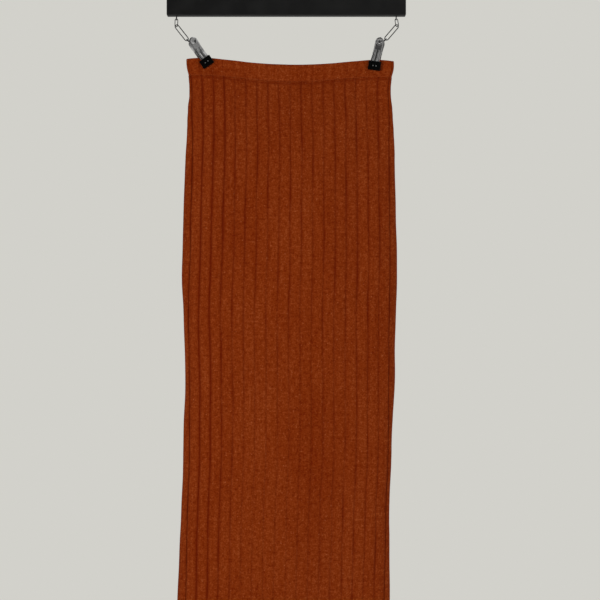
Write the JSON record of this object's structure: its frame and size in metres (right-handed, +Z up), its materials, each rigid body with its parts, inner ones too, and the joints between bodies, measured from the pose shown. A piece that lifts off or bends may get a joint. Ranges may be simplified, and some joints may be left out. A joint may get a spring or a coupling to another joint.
{
  "type": "maxi skirt on clip hanger",
  "caption": "Straight maxi skirt in wide-rib jersey with a sewn waistband, hung by two clips on short chains from a flat bar hanger with a wire hook.",
  "frame": {"origin": "underside of the top of the hook's bend, where a rail carries the hanger", "axes": "+Z up; +X to the right seen from the front; the skirt's front faces -Y"},
  "size_m": [0.358, 0.064, 1.1118],
  "materials": {
    "rib_knit": "brushed wide-rib jersey, heathered rust orange",
    "band_knit": "the same jersey folded double, ribs pressed flat",
    "bar_lacquer": "satin black lacquer",
    "hook_wire": "polished",
    "chain_wire": "bright plated wire",
    "clip_chrome": "pressed and plated, slightly worn",
    "pad_rubber": "smooth black rubber"
  },
  "bodies": {
    "root": {"skirt_front": "rib_knit", "skirt_back": "rib_knit", "waistband_front": "band_knit", "waistband_back": "band_knit", "hanger_bar": "bar_lacquer", "hanger_hook": "hook_wire", "screw_eye_left": "chain_wire", "screw_eye_right": "chain_wire", "small_link_left": "chain_wire", "small_link_right": "chain_wire", "long_link_left": "chain_wire", "long_link_right": "chain_wire", "ring_left": "chain_wire", "ring_right": "chain_wire", "clip_front_left": "clip_chrome", "clip_front_right": "clip_chrome", "clip_back_left": "clip_chrome", "clip_back_right": "clip_chrome", "clip_pin_left": "clip_chrome", "clip_pin_right": "clip_chrome", "clip_spring_left": "clip_chrome", "clip_spring_right": "clip_chrome", "pad_front_left": "pad_rubber", "pad_front_right": "pad_rubber", "pad_back_left": "pad_rubber", "pad_back_right": "pad_rubber"}
  },
  "joints": []
}
